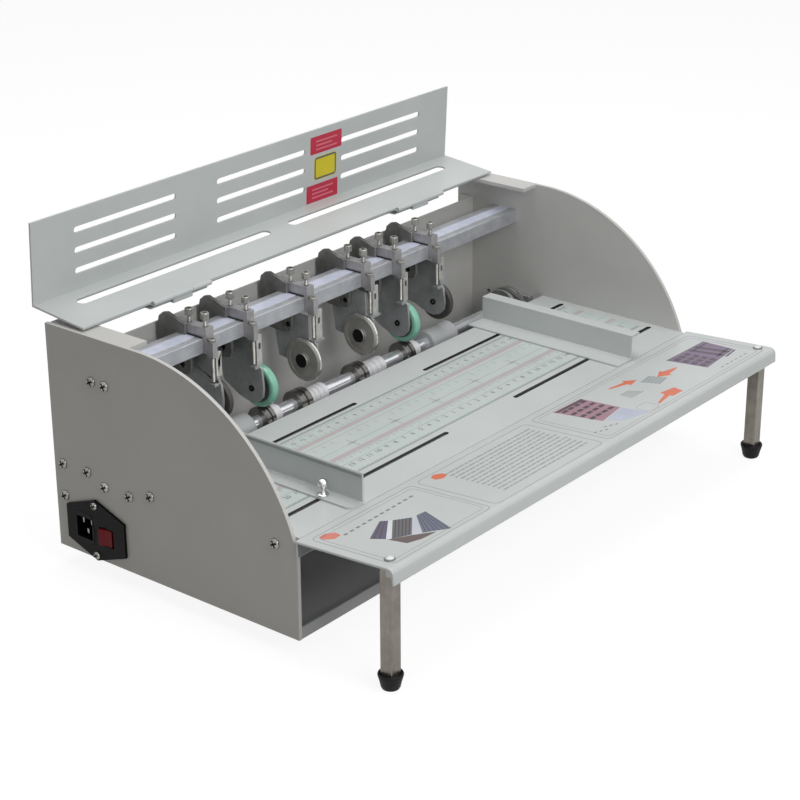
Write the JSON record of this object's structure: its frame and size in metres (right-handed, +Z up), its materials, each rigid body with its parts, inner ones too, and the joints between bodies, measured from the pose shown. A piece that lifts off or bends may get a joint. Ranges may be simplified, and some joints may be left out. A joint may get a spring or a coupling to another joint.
{
  "type": "desktop paper creasing machine",
  "caption": "Electric desktop paper creaser: side panels, slotted feed table, sliding tool stations on a bar, lower shaft, folding slotted cover, front leaf on legs.",
  "frame": {"origin": "bottom centre of the bounding box, on the plane of the rubber feet", "axes": "+X right along the machine's width, +Y from the front leaf to the back, +Z up"},
  "size_m": [0.498, 0.3382, 0.2624],
  "materials": {
    "side_paint": "light grey powder coat, satin",
    "sheet_paint": "pale grey powder coat, satin",
    "bracket_steel": "grey zinc plate, satin",
    "arm_steel": "dark blackened steel, satin",
    "bar_aluminium": "drawn, satin",
    "block_aluminium": "milled, satin",
    "bright_steel": "ground and plated, bright",
    "tool_steel": "turned, satin",
    "leg_steel": "drawn stainless tube, satin",
    "green_tread": "translucent polyurethane, satin",
    "dark_tread": "moulded, matt",
    "roller_tread": "ground, matt",
    "foot_rubber": "moulded, matt",
    "black_plastic": "moulded, fine grain",
    "red_plastic": "moulded, glossy",
    "motor_paint": "dark enamel, satin",
    "belt_rubber": "ground back, matt"
  },
  "bodies": {
    "frame": {"left_side_panel": "side_paint", "right_side_panel": "side_paint", "base_tray": "side_paint", "rear_wall": "side_paint", "feed_table": "sheet_paint", "front_leaf": "sheet_paint", "front_legs": "leg_steel", "rubber_feet": "foot_rubber", "tool_bar": "bar_aluminium", "hinge_strip": "sheet_paint", "hinge_fixed_leaves": "bright_steel", "shaft_bearings": "block_aluminium", "drive_belt": "belt_rubber", "motor": "motor_paint", "power_inlet": "black_plastic", "case_screws": "bright_steel"},
    "cover": {"cover": "sheet_paint", "hinge_moving_leaves": "bright_steel"},
    "left_fence": {"left_fence": "sheet_paint", "left_fence_screws": "bright_steel"},
    "right_fence": {"right_fence": "sheet_paint", "right_fence_screws": "bright_steel"},
    "lower_shaft": {"feed_shaft": "bright_steel", "feed_rollers": "roller_tread", "die_discs": "arm_steel", "die_sleeves": "bright_steel", "shaft_pulley": "bar_aluminium"},
    "motor_drive": {"motor_pulley": "bar_aluminium"},
    "power_switch": {"rocker_switch": "red_plastic"},
    "station_1": {"clamp_block_1": "block_aluminium", "bracket_1": "bracket_steel", "screws_1": "bright_steel"},
    "arm_1": {"arm_1": "arm_steel"},
    "wheel_1": {"wheel_1": "dark_tread"},
    "station_2": {"clamp_block_2": "block_aluminium", "bracket_2": "bracket_steel", "screws_2": "bright_steel"},
    "arm_2": {"arm_2": "arm_steel"},
    "wheel_2": {"wheel_2": "green_tread"},
    "station_3": {"clamp_block_3": "block_aluminium", "bracket_3": "bracket_steel", "screws_3": "bright_steel"},
    "arm_3": {"arm_3": "arm_steel"},
    "wheel_3": {"wheel_3": "tool_steel"},
    "station_4": {"clamp_block_4": "block_aluminium", "bracket_4": "bracket_steel", "screws_4": "bright_steel"},
    "arm_4": {"arm_4": "arm_steel"},
    "wheel_4": {"wheel_4": "tool_steel"},
    "station_5": {"clamp_block_5": "block_aluminium", "bracket_5": "bracket_steel", "screws_5": "bright_steel"},
    "arm_5": {"arm_5": "arm_steel"},
    "wheel_5": {"wheel_5": "green_tread"},
    "station_6": {"clamp_block_6": "block_aluminium", "bracket_6": "bracket_steel", "screws_6": "bright_steel"},
    "arm_6": {"arm_6": "arm_steel"},
    "wheel_6": {"wheel_6": "dark_tread"}
  },
  "joints": [
    {"name": "cover_hinge", "type": "hinge", "parent": "frame", "child": "cover", "pos_m": [0, 0.11431, 0.1935], "axis": [1, 0, 0], "range_deg": [0, 174]},
    {"name": "left_fence_slide", "type": "slide", "parent": "frame", "child": "left_fence", "axis": [1, 0, 0], "range_m": [-0.045, 0.13]},
    {"name": "right_fence_slide", "type": "slide", "parent": "frame", "child": "right_fence", "axis": [1, 0, 0], "range_m": [-0.1, 0.06]},
    {"name": "shaft_spin", "type": "hinge", "parent": "frame", "child": "lower_shaft", "pos_m": [0, 0.08771, 0.0806], "axis": [1, 0, 0], "continuous": true},
    {"name": "motor_spin", "type": "hinge", "parent": "frame", "child": "motor_drive", "pos_m": [0.227, 0.01571, 0.051], "axis": [1, 0, 0], "continuous": true},
    {"name": "power_rocker", "type": "hinge", "parent": "frame", "child": "power_switch", "pos_m": [-0.2415, 0.10011, 0.0365], "axis": [0, 0, -1], "range_deg": [0, 10]},
    {"name": "station_1_slide", "type": "slide", "parent": "frame", "child": "station_1", "axis": [1, 0, 0], "range_m": [-0.07, 0.01]},
    {"name": "arm_1_lift", "type": "hinge", "parent": "station_1", "child": "arm_1", "pos_m": [-0.1455, 0.10871, 0.139], "axis": [-1, 0, 0], "range_deg": [0, 3]},
    {"name": "wheel_1_spin", "type": "hinge", "parent": "arm_1", "child": "wheel_1", "pos_m": [-0.1391, 0.08771, 0.1148], "axis": [1, 0, 0], "continuous": true},
    {"name": "station_2_slide", "type": "slide", "parent": "frame", "child": "station_2", "axis": [1, 0, 0], "range_m": [-0.01, 0.018]},
    {"name": "arm_2_lift", "type": "hinge", "parent": "station_2", "child": "arm_2", "pos_m": [-0.1015, 0.10871, 0.139], "axis": [-1, 0, 0], "range_deg": [0, 3]},
    {"name": "wheel_2_spin", "type": "hinge", "parent": "arm_2", "child": "wheel_2", "pos_m": [-0.0913, 0.08771, 0.11], "axis": [1, 0, 0], "continuous": true},
    {"name": "station_3_slide", "type": "slide", "parent": "frame", "child": "station_3", "axis": [1, 0, 0], "range_m": [-0.02, 0.022]},
    {"name": "arm_3_lift", "type": "hinge", "parent": "station_3", "child": "arm_3", "pos_m": [-0.033, 0.10871, 0.139], "axis": [-1, 0, 0], "range_deg": [0, 3]},
    {"name": "wheel_3_spin", "type": "hinge", "parent": "arm_3", "child": "wheel_3", "pos_m": [-0.0394, 0.08771, 0.1143], "axis": [1, 0, 0], "continuous": true},
    {"name": "station_4_slide", "type": "slide", "parent": "frame", "child": "station_4", "axis": [1, 0, 0], "range_m": [-0.022, 0.01]},
    {"name": "arm_4_lift", "type": "hinge", "parent": "station_4", "child": "arm_4", "pos_m": [0.036, 0.10871, 0.139], "axis": [-1, 0, 0], "range_deg": [0, 3]},
    {"name": "wheel_4_spin", "type": "hinge", "parent": "arm_4", "child": "wheel_4", "pos_m": [0.0296, 0.08771, 0.1143], "axis": [1, 0, 0], "continuous": true},
    {"name": "station_5_slide", "type": "slide", "parent": "frame", "child": "station_5", "axis": [1, 0, 0], "range_m": [-0.01, 0.012]},
    {"name": "arm_5_lift", "type": "hinge", "parent": "station_5", "child": "arm_5", "pos_m": [0.075, 0.10871, 0.139], "axis": [-1, 0, 0], "range_deg": [0, 3]},
    {"name": "wheel_5_spin", "type": "hinge", "parent": "arm_5", "child": "wheel_5", "pos_m": [0.0827, 0.08771, 0.11], "axis": [1, 0, 0], "continuous": true},
    {"name": "station_6_slide", "type": "slide", "parent": "frame", "child": "station_6", "axis": [1, 0, 0], "range_m": [-0.012, 0.075]},
    {"name": "arm_6_lift", "type": "hinge", "parent": "station_6", "child": "arm_6", "pos_m": [0.1225, 0.10871, 0.139], "axis": [-1, 0, 0], "range_deg": [0, 3]},
    {"name": "wheel_6_spin", "type": "hinge", "parent": "arm_6", "child": "wheel_6", "pos_m": [0.1289, 0.08771, 0.1148], "axis": [1, 0, 0], "continuous": true}
  ],
  "couplings": [
    {"joint": "motor_spin", "follows": "shaft_spin", "ratio": 1}
  ]
}
